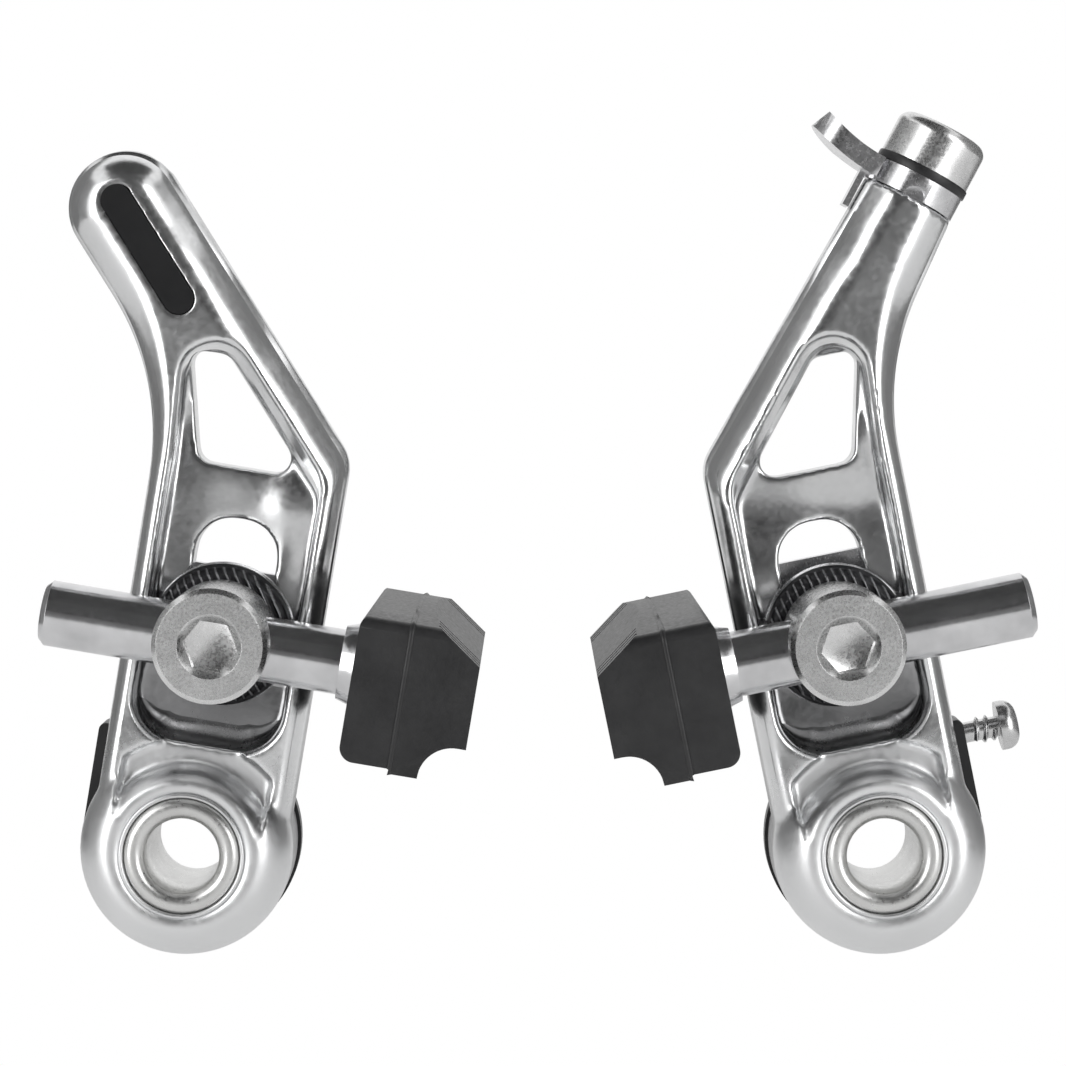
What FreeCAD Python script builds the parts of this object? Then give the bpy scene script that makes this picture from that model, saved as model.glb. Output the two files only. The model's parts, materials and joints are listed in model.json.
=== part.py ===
"""Cantilever rim brake for a bicycle: a left and a right arm, each turning on its own frame boss.

Millimetres. +X is to the right seen from the front, -Y is the front and +Z is up.
The origin lies midway between the two boss axes, on the plane where the pivot bushes seat.
Each arm is modelled in its own frame, with the pivot on the Y axis and the lower arm along +Z.
The tip leans towards -X, the outer side. The right arm is the mirror image of that frame.
"""

import FreeCAD
import Part
import math
import os

Vector = FreeCAD.Vector

# Layout of the two arms on the frame
BOSS_SPACING = 75.5
LEFT_LEAN = 9.6
RIGHT_LEAN = 11.6

# Pivot bush, which is clamped on the boss
BUSH_BORE_R = 4.05
BUSH_R = 6.4
BUSH_LENGTH = 17.4
BUSH_CHAMFER = 0.45
RUNNING_CLEARANCE = 0.05

# Forged arm, depths measured from the seating plane towards the front
ARM_BACK = 5.0
ARM_PARTING = 8.5
ARM_FRONT = 14.5
ARM_HALF_WIDTH = 10.7
ELBOW_HEIGHT = 44.8
ELBOW_R = 4.5
CROOK_R = 28.0
TUBE_ANGLE = 41.5
ANCHOR_TUBE_ANGLE = 39.5
TIP_DISTANCE = 62.2
TUBE_HALF_WIDTH = 6.3
TIP_R = 6.1
ANCHOR_TIP_DISTANCE = 63.6
ANCHOR_TIP_HALF_WIDTH = 5.2
RAIL_ROUNDING = 1.8
TUBE_ROUNDING = 4.4
BACK_RAIL_ROUNDING = 0.5
BACK_TUBE_ROUNDING = 2.8

# Hub round the pivot
HUB_R = 11.6
HUB_FRONT = 17.2
HUB_BACK = 2.5
HUB_CREST_R = 7.9
HUB_DIP = 0.5
HUB_SHOULDER_DEPTH = 6.4
HUB_RING_R = 9.5
HUB_MOAT_R = 12.3
HUB_MOAT_FRONT = 12.5
HUB_MOAT_START = 3.0

# Channel, windows and pad slot in the arm
CHANNEL_FLOOR = 9.6
CHANNEL_RIM = 0.7
CHANNEL_HALF_WIDTH = 8.1
CHANNEL_BOTTOM = 11.5
CHANNEL_BOTTOM_R = 5.0
INNER_LEG_WIDTH = 3.6
INNER_LEG_SLOPE = 1.7
CHANNEL_APEX_X = -9.3
CHANNEL_APEX_R = 2.2
SLOT_HALF_WIDTH = 4.5
SLOT_BOTTOM = 17.6
SLOT_BELOW_ELBOW = 8.5
SLOT_TOP = ELBOW_HEIGHT - SLOT_BELOW_ELBOW
SLOT_R = 4.0
BRIDGE_HEIGHT = 5.5
WINDOW_BOTTOM_LEFT = -5.7
WINDOW_SIDE_LEAN = 13.3
WINDOW_HEIGHT = 11.9
WINDOW_BOTTOM_R = 1.7
WINDOW_TOP_R = 1.3
RAMP_GAP = 0.4
RAMP_LENGTH = 4.2

# Link wire socket in the back of the left tip
SOCKET_R = 3.0
SOCKET_DEPTH = 4.0
SOCKET_SLIT = 2.4
SOCKET_SLIT_ANGLE = 63.0

# Inlay strip on the left tip
INLAY_LENGTH = 15.7
INLAY_WIDTH = 3.3
INLAY_DEPTH = 0.4
INLAY_CLEARANCE = 0.04
INLAY_OFFSET = 5.2

# Return spring and its plastic cup
SPRING_WIRE_R = 0.7
SPRING_LEG_R = 0.66
SPRING_TAIL = 6.0
SPRING_MEAN_R = 7.5
SPRING_PITCH = 1.7
SPRING_TURNS = 2.25
SPRING_PIN_LENGTH = 4.0
SPRING_PIN_R = 0.45
SPRING_LEG_END_R = 9.2
CUP_INNER_R = 8.6
CUP_WALL = 0.8
CUP_CLEARANCE = 0.08
CUP_DEPTH = 8.6
CUP_FLANGE = 2.1
CUP_FLANGE_R = 11.9
CUP_HOLE_R = 6.7
CUP_PIN_SLOT_ANGLE = 75.0
EAR_OUTER = 12.2
EAR_INNER = 9.6
EAR_TOP = 11.2

# Spring tension adjuster on the right arm
SCREW_HEIGHT = 9.3
SCREW_R = 1.15
SCREW_EXPOSED = 4.0
SCREW_HEAD_R = 2.75
SCREW_HEAD_HEIGHT = 2.1
SCREW_RECESS_DEPTH = 1.3
SCREW_RECESS_SLOT = 0.8
SCREW_RECESS_SPAN = 2.8
STOP_LUG_OUTER = 8.2
STOP_LUG_WIDTH = 2.6
STOP_LUG_HEIGHT = 4.0
STOP_GAP = 0.4
SCREW_RELIEF_R = 2.1

# Pad clamp: eye bolt, washers, plate and nut
EYE_HEIGHT = 23.7
EYE_HEAD_R = 6.1
EYE_HEAD_FRONT = 25.6
EYE_EDGE = 0.5
POST_DEPTH = 18.6
SOCKET_FLATS = 5.0
SOCKET_LEAD_R = 3.4
EYE_SOCKET_DEPTH = 2.5
SHANK_R = 3.0
SHANK_END = 2.6
KNURLED_WASHER_R = 7.7
KNURLED_WASHER_FRONT_R = 6.7
KNURLED_WASHER_THICKNESS = 2.0
KNURLED_WASHER_RIM = 0.7
SEAT_WASHER_R = 7.85
SEAT_WASHER_THICKNESS = 0.9
SEAT_BOSS_R = 4.25
SEAT_BOSS_LENGTH = 3.0
LEFT_PLATE_TURN = 90.0
RIGHT_PLATE_TURN = 0.0
REAR_PLATE_WIDTH = 13.6
REAR_PLATE_HEIGHT = 16.8
REAR_PLATE_THICKNESS = 1.6
NUT_FLATS = 10.0
NUT_HEIGHT = 5.0

# Brake pad and its post, measured along the post from the pad's back face
POST_R = 3.5
POST_FREE_END = 19.4
POST_CHAMFER = 0.6
COLLAR_LENGTH = 2.2
COLLAR_SMALL_R = 3.95
COLLAR_R = 4.65
LEFT_PAD_TILT = 1.2
RIGHT_PAD_TILT = 0.8
LEFT_PAD_REACH = 0.9
RIGHT_PAD_REACH = -1.0
PAD_BACK = 14.9
PAD_LENGTH = 50.6
PAD_BASE_TOP = 7.4
PAD_BASE_BOTTOM = -7.5
PAD_BASE_THICKNESS = 5.2
PAD_BASE_R = 1.5
PAD_STEP = 0.5
PAD_THICKNESS = 12.4
PAD_SHELF = 6.8
PAD_FACE_TOP = 3.9
PAD_FACE_BOTTOM = -4.4
PAD_HEEL = 8.05
PAD_HEEL_R = 3.5
PAD_NOSE_DROP = 0.9
PAD_NOSE_R = 1.2
BACKING_START = 1.5
BACKING_THICKNESS = 1.5
BACKING_HEIGHT = 10.0
BACKING_LENGTH = 36.0
PAD_SLITS = 3
PAD_SLIT_PITCH = 2.6
PAD_SLIT_WIDTH = 0.7
PAD_SLIT_DEPTH = 1.3
PAD_SLIT_MARGIN = 2.2

# Cable anchor on the right tip, measured along the tip's axis
CLAMP_PLATE_THICKNESS = 2.5
CLAMP_PLATE_R = 5.1
CLAMP_TAB_CURVE_R = 18.7
CLAMP_TAB_THICKNESS = 2.2
CLAMP_TAB_SWEEP = 24.0
CLAMP_TAB_OVERLAP = 0.6
CLAMP_TAB_WIDTH = 7.4
CLAMP_LIP_LENGTH = 3.8
CLAMP_LIP_THICKNESS = 0.7
CLAMP_LIP_WIDTH = 3.4
CLAMP_LIP_OFFSET = -1.0
CLAMP_LIP_GAP = 0.25
CLAMP_NOTCH_R = 1.25
CLAMP_NOTCH_LENGTH = 1.4
CABLE_GROOVE_R = 0.9
CABLE_GROOVE_OFFSET = 3.9
SEAL_RING_R = 5.25
SEAL_RING_HEIGHT = 1.0
ANCHOR_HEAD_R = 5.1
ANCHOR_HEAD_HEIGHT = 5.0
ANCHOR_HEAD_ROUND = 1.3
ANCHOR_SOCKET_DEPTH = 3.0
ANCHOR_SHANK_R = 3.0
ANCHOR_SHANK_LENGTH = 11.0

# Where the inner edges of the lower arm and the tube meet
ELBOW = Vector(ARM_HALF_WIDTH, 0, ELBOW_HEIGHT)


def tube_axis(angle):
    """Direction up an upper tube that leans outwards by an angle."""
    turn = math.radians(angle)
    return Vector(-math.sin(turn), 0, math.cos(turn))


def tube_inner(angle):
    """Direction across that tube, towards its inner edge."""
    turn = math.radians(angle)
    return Vector(math.cos(turn), 0, math.sin(turn))


def across_tube(inset, angle):
    """Point on the line that lies inset from the tube's inner edge, level with the elbow along the tube."""
    return ELBOW - tube_inner(angle) * inset


def on_tube(along, inset, angle):
    """Point on that line, along millimetres up the tube's direction from the pivot."""
    start = across_tube(inset, angle)
    axis = tube_axis(angle)
    return start + axis * (along - start.dot(axis))


def meet(point_a, direction_a, point_b, direction_b):
    """Intersection of two lines in the XZ plane."""
    cross = direction_a.x * direction_b.z - direction_a.z * direction_b.x
    gap = point_b - point_a
    share = (gap.x * direction_b.z - gap.z * direction_b.x) / cross
    return point_a + direction_a * share


def outline(corners, radii, insets, depth):
    """Closed wire in the plane y = -depth.

    corners run counter-clockwise seen from the front, and edge i starts at corner i.
    Edge i is moved inwards by insets[i], and the corner radii follow that move.
    """
    count = len(corners)
    directions = []
    starts = []
    for i in range(count):
        along = (corners[(i + 1) % count] - corners[i]).normalize()
        directions.append(along)
        starts.append(corners[i] + Vector(-along.z, 0, along.x) * insets[i])
    enters, middles, leaves = [], [], []
    for i in range(count):
        before, after = directions[i - 1], directions[i]
        point = meet(starts[i - 1], before, starts[i], after)
        turn = math.atan2(before.x * after.z - before.z * after.x, before.dot(after))
        moved = (insets[i - 1] + insets[i]) / 2
        radius = radii[i] - moved if turn > 0 else radii[i] + moved
        reach = radius * abs(math.tan(turn / 2)) if radii[i] else 0
        enters.append(point - before * reach)
        leaves.append(point + after * reach)
        towards = (after - before).normalize()
        middles.append(point + towards * radius * (1 / math.cos(turn / 2) - 1))
    shift = Vector(0, -depth, 0)
    edges = []
    for i in range(count):
        if radii[i]:
            arc = Part.Arc(enters[i] + shift, middles[i] + shift, leaves[i] + shift)
            edges.append(arc.toShape())
        line = Part.LineSegment(leaves[i] + shift, enters[(i + 1) % count] + shift)
        edges.append(line.toShape())
    return Part.Wire(edges)


def prism(corners, radii, front, back):
    """Straight prism of an outline, from depth front to depth back."""
    wire = outline(corners, radii, [0] * len(corners), front)
    return Part.Face(wire).extrude(Vector(0, front - back, 0))


def turned(points):
    """Solid of revolution about the Y axis from (radius, depth) points."""
    wire = Part.makePolygon([Vector(r, -depth, 0) for r, depth in points + points[:1]])
    return Part.Face(wire).revolve(Vector(), Vector(0, 1, 0), 360)


def rod(radius, front, back, x=0, z=0):
    """Cylinder along Y between two depths."""
    return Part.makeCylinder(radius, front - back, Vector(x, -front, z), Vector(0, 1, 0))


def block(x_low, x_high, front, back, z_low, z_high):
    """Box between two depths."""
    corner = Vector(x_low, -front, z_low)
    return Part.makeBox(x_high - x_low, front - back, z_high - z_low, corner)


def hexagon(flats, front, back):
    """Hexagonal prism along Y with two corners on the X axis."""
    corner_r = flats / math.sqrt(3)
    points = []
    for i in range(7):
        turn = math.radians(60 * i)
        points.append(Vector(corner_r * math.cos(turn), -front, corner_r * math.sin(turn)))
    return Part.Face(Part.makePolygon(points)).extrude(Vector(0, front - back, 0))


def quarter_round(share):
    """Inset of a rounded edge, as a share of its rounding, at a share of its depth."""
    return 1 - math.sqrt(1 - share * share)


def arm_corners(tip_along, tip_half_width, angle):
    """Corners of the arm's outline at its parting plane."""
    outer_edge = on_tube(tip_along, 2 * TUBE_HALF_WIDTH, angle)
    middle = on_tube(tip_along, TUBE_HALF_WIDTH, angle)
    tip_inner = middle + tube_inner(angle) * tip_half_width
    tip_outer = middle - tube_inner(angle) * tip_half_width
    flank = Vector(-ARM_HALF_WIDTH, 0, 0)
    crook = meet(outer_edge, tube_axis(angle), flank, Vector(0, 0, 1))
    return [flank, Vector(ARM_HALF_WIDTH, 0, 0), ELBOW, tip_inner, tip_outer, crook]


def arm_blank(corners, tip_r, tip_rounding, tip_back_rounding):
    """Drafted, edge-rounded body of the arm above the pivot."""
    radii = [0, 0, ELBOW_R, tip_r, tip_r, CROOK_R]
    rail, tube = RAIL_ROUNDING, TUBE_ROUNDING
    front = [0, rail, tube, tip_rounding, tube, rail]
    rail, tube = BACK_RAIL_ROUNDING, BACK_TUBE_ROUNDING
    back = [0, rail, tube, tip_back_rounding, tube, rail]
    wires = []
    for share in (1.0, 0.7, 0.0):
        insets = [value * quarter_round(share) for value in back]
        depth = ARM_PARTING + (ARM_BACK - ARM_PARTING) * share
        wires.append(outline(corners, radii, insets, depth))
    for share in (0.45, 0.75, 0.92, 1.0):
        insets = [value * quarter_round(share) for value in front]
        depth = ARM_PARTING + (ARM_FRONT - ARM_PARTING) * share
        wires.append(outline(corners, radii, insets, depth))
    return Part.makeLoft(wires, True, False)


def hub_turning(flank):
    """Solid turned round the pivot, its front edge a smooth curve through (radius, depth) points."""
    curve = Part.BSplineCurve()
    curve.interpolate([Vector(radius, -depth, 0) for radius, depth in flank])
    inner, outer = Vector(flank[0][0], -flank[0][1], 0), Vector(flank[-1][0], -flank[-1][1], 0)
    back = Vector(outer.x, -HUB_BACK, 0)
    edges = [
        Part.LineSegment(Vector(0, -HUB_BACK, 0), Vector(0, inner.y, 0)).toShape(),
        Part.LineSegment(Vector(0, inner.y, 0), inner).toShape(),
        curve.toShape(),
        Part.LineSegment(outer, back).toShape(),
        Part.LineSegment(back, Vector(0, -HUB_BACK, 0)).toShape(),
    ]
    return Part.Face(Part.Wire(edges)).revolve(Vector(), Vector(0, 1, 0), 360)


def hub_blank():
    """Round hub whose front rises to a crest beside the bush and falls away to the rim."""
    fall = HUB_R - HUB_CREST_R
    return hub_turning([
        (BUSH_R, HUB_FRONT - HUB_DIP),
        (HUB_CREST_R, HUB_FRONT),
        (HUB_CREST_R + 0.5 * fall, HUB_FRONT - 0.16 * HUB_SHOULDER_DEPTH),
        (HUB_CREST_R + 0.85 * fall, HUB_FRONT - 0.5 * HUB_SHOULDER_DEPTH),
        (HUB_R, HUB_FRONT - HUB_SHOULDER_DEPTH),
    ])


def hub_bead():
    """The raised ring alone, which stands in the moat on the side of the channel."""
    fall = HUB_RING_R - HUB_CREST_R
    drop = HUB_FRONT - HUB_MOAT_FRONT
    return hub_turning([
        (BUSH_R, HUB_FRONT - HUB_DIP),
        (HUB_CREST_R, HUB_FRONT),
        (HUB_CREST_R + 0.6 * fall, HUB_FRONT - 0.2 * drop),
        (HUB_CREST_R + 0.9 * fall, HUB_FRONT - 0.55 * drop),
        (HUB_RING_R, HUB_MOAT_FRONT),
    ])


def channel(angle):
    """Deep channel in the arm's front, with a sloped wall on the inner leg."""
    low_left = Vector(-CHANNEL_HALF_WIDTH, 0, CHANNEL_BOTTOM)
    low_right = Vector(CHANNEL_HALF_WIDTH, 0, CHANNEL_BOTTOM)
    leg = across_tube(INNER_LEG_WIDTH, angle)
    high_right = meet(leg, tube_axis(angle), low_right, Vector(0, 0, 1))
    apex = meet(leg, tube_axis(angle), Vector(CHANNEL_APEX_X, 0, 0), Vector(0, 0, 1))
    bend = Vector(-CHANNEL_HALF_WIDTH, 0, high_right.z)
    corners = [low_left, low_right, high_right, apex, bend]
    radii = [CHANNEL_BOTTOM_R, CHANNEL_BOTTOM_R, ELBOW_R, CHANNEL_APEX_R + INNER_LEG_SLOPE, CROOK_R]
    count = len(corners)
    mouth = outline(corners, radii, [-CHANNEL_RIM] * count, ARM_FRONT + CHANNEL_RIM)
    rim = outline(corners, radii, [0] * count, ARM_FRONT - CHANNEL_RIM)
    floor = outline(corners, radii, [0, 0, INNER_LEG_SLOPE, 0, 0], CHANNEL_FLOOR)
    above = Part.Face(mouth).extrude(Vector(0, -HUB_FRONT, 0))
    return Part.makeLoft([mouth, rim, floor], True, True).fuse(above).cut(channel_ramp())


def channel_ramp():
    """Wedge left standing at the channel's narrow end, from the window's top up to the crown."""
    start = SLOT_TOP + BRIDGE_HEIGHT + WINDOW_HEIGHT + RAMP_GAP
    rise = ARM_FRONT - CHANNEL_FLOOR
    points = [
        (start, 0),
        (start, CHANNEL_FLOOR),
        (start + 3 * RAMP_LENGTH, CHANNEL_FLOOR + 3 * rise),
        (start + 3 * RAMP_LENGTH, 0),
        (start, 0),
    ]
    wire = Part.makePolygon([Vector(-2 * ARM_HALF_WIDTH, -depth, z) for z, depth in points])
    return Part.Face(wire).extrude(Vector(3 * ARM_HALF_WIDTH, 0, 0))


def window(angle):
    """Three-cornered window between the two legs."""
    leg = across_tube(INNER_LEG_WIDTH + INNER_LEG_SLOPE, angle)
    level = Vector(1, 0, 0)
    bottom = SLOT_TOP + BRIDGE_HEIGHT
    top = Vector(0, 0, bottom + WINDOW_HEIGHT)
    lean = math.radians(WINDOW_SIDE_LEAN)
    low_left = Vector(WINDOW_BOTTOM_LEFT, 0, bottom)
    low_right = meet(leg, tube_axis(angle), low_left, level)
    high_right = meet(leg, tube_axis(angle), top, level)
    high_left = meet(low_left, Vector(-math.sin(lean), 0, math.cos(lean)), top, level)
    radii = [WINDOW_BOTTOM_R, WINDOW_BOTTOM_R, WINDOW_TOP_R, WINDOW_TOP_R]
    return prism([low_left, low_right, high_right, high_left], radii, ARM_FRONT, 0)


def pad_slot():
    """Slot that the pad clamp slides in."""
    corners = [
        Vector(-SLOT_HALF_WIDTH, 0, SLOT_BOTTOM),
        Vector(SLOT_HALF_WIDTH, 0, SLOT_BOTTOM),
        Vector(SLOT_HALF_WIDTH, 0, SLOT_TOP),
        Vector(-SLOT_HALF_WIDTH, 0, SLOT_TOP),
    ]
    return prism(corners, [SLOT_R] * 4, ARM_FRONT, 0)


def hub_moat():
    """Shallow hollows round the hub's raised ring, between the two rails."""
    ring = rod(HUB_MOAT_R, HUB_FRONT + 1, HUB_MOAT_FRONT)
    between = block(-CHANNEL_HALF_WIDTH, CHANNEL_HALF_WIDTH, HUB_FRONT + 1, 0, HUB_MOAT_START, HUB_R * 2)
    return ring.common(between).cut(hub_bead())


def finish_arm(blank, angle):
    """Cuts what both arms share: channel, windows, bore and spring cavity."""
    arm = blank.cut(channel(angle)).cut(hub_moat()).cut(window(angle)).cut(pad_slot())
    arm = arm.cut(rod(BUSH_R + RUNNING_CLEARANCE, HUB_FRONT + 1, 0))
    cavity_r = CUP_INNER_R + CUP_WALL + CUP_CLEARANCE
    return arm.cut(rod(cavity_r, CUP_DEPTH + CUP_CLEARANCE, 0))


def left_arm():
    """Arm with a closed round tip, a recess for the inlay and a socket for the link wire."""
    corners = arm_corners(TIP_DISTANCE + TUBE_HALF_WIDTH, TUBE_HALF_WIDTH, TUBE_ANGLE)
    blank = arm_blank(corners, TIP_R, TUBE_ROUNDING, BACK_TUBE_ROUNDING)
    arm = finish_arm(blank.fuse(hub_blank()), TUBE_ANGLE)
    tip = on_tube(TIP_DISTANCE, TUBE_HALF_WIDTH, TUBE_ANGLE)
    socket = rod(SOCKET_R, ARM_BACK + SOCKET_DEPTH, 0, tip.x, tip.z)
    slit = block(0, 2 * TUBE_HALF_WIDTH, ARM_BACK + SOCKET_DEPTH, 0, -SOCKET_SLIT / 2, SOCKET_SLIT / 2)
    slit.rotate(Vector(), Vector(0, 1, 0), -SOCKET_SLIT_ANGLE)
    slit.translate(tip)
    recess = tip_strip(INLAY_WIDTH / 2 + INLAY_CLEARANCE, ARM_FRONT + 1)
    return arm.cut(socket).cut(slit).cut(recess)


def tip_strip(radius, front):
    """Flat strip with round ends along the left tip, from the inlay's seat to a depth in front of it."""
    half = INLAY_LENGTH / 2 - INLAY_WIDTH / 2
    back = ARM_FRONT - INLAY_DEPTH
    strip = block(-half, half, front, back, -radius, radius)
    for end in (-half, half):
        strip = strip.fuse(rod(radius, front, back, end, 0))
    strip = strip.removeSplitter()
    strip.rotate(Vector(), Vector(0, 1, 0), 90 - TUBE_ANGLE)
    strip.translate(on_tube(TIP_DISTANCE - INLAY_OFFSET, TUBE_HALF_WIDTH, TUBE_ANGLE))
    return strip


def inlay():
    """Strip let into the crown of the left tip."""
    return tip_strip(INLAY_WIDTH / 2, ARM_FRONT)


def tip_frame(shape):
    """Moves a shape built round +Z onto the axis of the anchor tip, Z = 0 on its end face."""
    shape.rotate(Vector(), Vector(0, 1, 0), -ANCHOR_TUBE_ANGLE)
    end = on_tube(ANCHOR_TIP_DISTANCE, TUBE_HALF_WIDTH, ANCHOR_TUBE_ANGLE)
    shape.translate(end + Vector(0, -(ARM_FRONT + ARM_BACK) / 2, 0))
    return shape


def right_arm():
    """Arm with a square-cut tip for the cable anchor and a stop lug for the adjuster."""
    corners = arm_corners(ANCHOR_TIP_DISTANCE, ANCHOR_TIP_HALF_WIDTH, ANCHOR_TUBE_ANGLE)
    blank = arm_blank(corners, 0, 0, 0).fuse(hub_blank())
    lug_x = -STOP_LUG_OUTER
    low = SCREW_HEIGHT - STOP_LUG_HEIGHT / 2
    lug = block(lug_x, lug_x + STOP_LUG_WIDTH, ARM_BACK, CUP_FLANGE / 2, low, low + STOP_LUG_HEIGHT)
    lug = lug.cut(rod(CUP_FLANGE_R + STOP_GAP, ARM_BACK, 0))
    arm = finish_arm(blank.fuse(lug), ANCHOR_TUBE_ANGLE).cut(adjuster_bore(SCREW_RELIEF_R, STOP_LUG_OUTER))
    bore = Part.makeCylinder(ANCHOR_SHANK_R, ANCHOR_SHANK_LENGTH, Vector(0, 0, -ANCHOR_SHANK_LENGTH))
    return arm.cut(tip_frame(bore))


def pivot_bush():
    """Steel sleeve that the arm turns on."""
    inner, outer = BUSH_BORE_R, BUSH_R
    lead = inner + BUSH_CHAMFER
    return turned([
        (inner, BUSH_CHAMFER),
        (lead, 0),
        (outer, 0),
        (outer, BUSH_LENGTH),
        (lead, BUSH_LENGTH),
        (inner, BUSH_LENGTH - BUSH_CHAMFER),
    ])


def spring_cup(adjustable):
    """Plastic cup for the spring, with a flange behind the hub and an ear on the outer flank."""
    cup = rod(CUP_INNER_R + CUP_WALL, CUP_DEPTH, HUB_BACK - CUP_FLANGE)
    flange = rod(CUP_FLANGE_R, HUB_BACK, HUB_BACK - CUP_FLANGE)
    ear_corners = [
        Vector(-EAR_OUTER, 0, 0),
        Vector(-EAR_INNER, 0, 0),
        Vector(-EAR_INNER, 0, EAR_TOP),
        Vector(-EAR_OUTER, 0, EAR_TOP),
    ]
    ear = prism(ear_corners, [0, 0, 0.8, 0.8], ARM_BACK, HUB_BACK - CUP_FLANGE)
    ear = ear.cut(rod(HUB_R + CUP_CLEARANCE, ARM_BACK, HUB_BACK))
    cup = cup.fuse(flange).fuse(ear)
    cup = cup.cut(rod(CUP_INNER_R, CUP_DEPTH, HUB_BACK))
    cup = cup.cut(rod(CUP_HOLE_R, CUP_DEPTH, 0))
    pin_r = SPRING_MEAN_R + SPRING_WIRE_R + CUP_CLEARANCE
    sector = Part.makeCylinder(pin_r, HUB_BACK, Vector(0, -HUB_BACK, 0), Vector(0, 1, 0), CUP_PIN_SLOT_ANGLE)
    spin_to(sector, -90 - CUP_PIN_SLOT_ANGLE / 2)
    cup = cup.cut(sector)
    notch = SPRING_WIRE_R + CUP_CLEARANCE
    leg_front = CUP_DEPTH - SPRING_WIRE_R
    cup = cup.cut(block(0, CUP_FLANGE_R, CUP_DEPTH, leg_front - 2 * notch, -notch, notch))
    if adjustable:
        cup = cup.cut(adjuster_bore(SCREW_R + RUNNING_CLEARANCE, CUP_INNER_R - CUP_WALL))
    return cup.removeSplitter()


def spin_to(shape, degrees):
    """Turns a sector about the pivot so that it starts at an angle from +X towards +Z."""
    box = shape.BoundBox
    start = 0 if abs(box.ZMax) > abs(box.ZMin) else 180
    shape.rotate(Vector(), Vector(0, 1, 0), -degrees - start)
    return shape


def adjuster_axis_depth():
    """Depth of the tension screw, in the middle of the ear."""
    return (ARM_BACK + HUB_BACK - CUP_FLANGE) / 2


def adjuster_bore(radius, inner_end):
    """Room for the tension screw, from outside the ear to a distance from the pivot's plane."""
    start = Vector(-EAR_OUTER - 1, -adjuster_axis_depth(), SCREW_HEIGHT)
    return Part.makeCylinder(radius, EAR_OUTER + 1 - inner_end, start, Vector(1, 0, 0))


def adjuster_screw():
    """Pan-head screw with a cross recess, pointing inwards at the stop lug."""
    head_back = EAR_OUTER + SCREW_EXPOSED
    length = head_back - STOP_LUG_OUTER - STOP_GAP
    shank = Part.makeCylinder(SCREW_R, length, Vector(), Vector(1, 0, 0))
    head_front = Vector(-SCREW_HEAD_HEIGHT, 0, 0)
    head = Part.makeCylinder(SCREW_HEAD_R, SCREW_HEAD_HEIGHT, head_front, Vector(1, 0, 0))
    rim = [edge for edge in head.Edges if edge.BoundBox.XMax < -SCREW_HEAD_HEIGHT / 2 and edge.isClosed()]
    head = head.makeFillet(SCREW_HEAD_HEIGHT * 0.7, rim)
    screw = shank.fuse(head)
    for size_y, size_z in ((SCREW_RECESS_SPAN, SCREW_RECESS_SLOT), (SCREW_RECESS_SLOT, SCREW_RECESS_SPAN)):
        corner = Vector(-SCREW_HEAD_HEIGHT, -size_y / 2, -size_z / 2)
        screw = screw.cut(Part.makeBox(SCREW_RECESS_DEPTH, size_y, size_z, corner))
    screw.translate(Vector(-head_back, -adjuster_axis_depth(), SCREW_HEIGHT))
    return screw


def return_spring():
    """Torsion spring with a rear pin for the frame boss and a front leg for the cup."""
    start_depth = CUP_DEPTH - 2 * SPRING_WIRE_R - CUP_CLEARANCE
    rise = SPRING_PITCH * SPRING_TURNS
    path = Part.makeHelix(SPRING_PITCH, rise, SPRING_MEAN_R)
    section = Part.Wire(Part.makeCircle(SPRING_WIRE_R, Vector(SPRING_MEAN_R, 0, 0), Vector(0, 1, 0)))
    coil = Part.Wire(path.Edges).makePipeShell([section], True, True)
    coil.rotate(Vector(), Vector(1, 0, 0), -90)
    coil.translate(Vector(0, -start_depth, 0))
    tail_rise = SPRING_PITCH * SPRING_TAIL / 360

    def out_at(degrees):
        turn = math.radians(degrees)
        return Vector(math.cos(turn), 0, -math.sin(turn))

    leg_start = out_at(SPRING_TAIL) * SPRING_MEAN_R + Vector(0, tail_rise - start_depth, 0)
    leg_length = SPRING_LEG_END_R - SPRING_MEAN_R
    leg = Part.makeCylinder(SPRING_LEG_R, leg_length, leg_start, out_at(SPRING_TAIL))
    pin_place = out_at(360 * SPRING_TURNS - SPRING_TAIL) * SPRING_MEAN_R
    drop = rod(SPRING_LEG_R, start_depth - rise + tail_rise, 0, pin_place.x, pin_place.z)
    pin = rod(SPRING_PIN_R, 0, -SPRING_PIN_LENGTH, pin_place.x, pin_place.z)
    spring = coil.fuse(leg).fuse(drop.fuse(pin))
    spring.rotate(Vector(), Vector(0, 1, 0), -SPRING_TAIL)
    return spring


def at_eye(shape):
    """Moves a shape built round the Y axis up to the eye bolt."""
    shape.translate(Vector(0, 0, EYE_HEIGHT))
    return shape


def washer_front():
    """Depth of the front of the washer stack, where the eye bolt's head seats."""
    return CHANNEL_FLOOR + SEAT_WASHER_THICKNESS + KNURLED_WASHER_THICKNESS


def hex_socket(front, depth):
    """Hexagon socket with a conical lead-in."""
    lead = SOCKET_LEAD_R - SOCKET_FLATS / 2
    cone = turned([(0, front), (SOCKET_LEAD_R, front), (SOCKET_FLATS / 2, front - lead), (0, front - lead)])
    return hexagon(SOCKET_FLATS, front, front - depth).fuse(cone)


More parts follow.
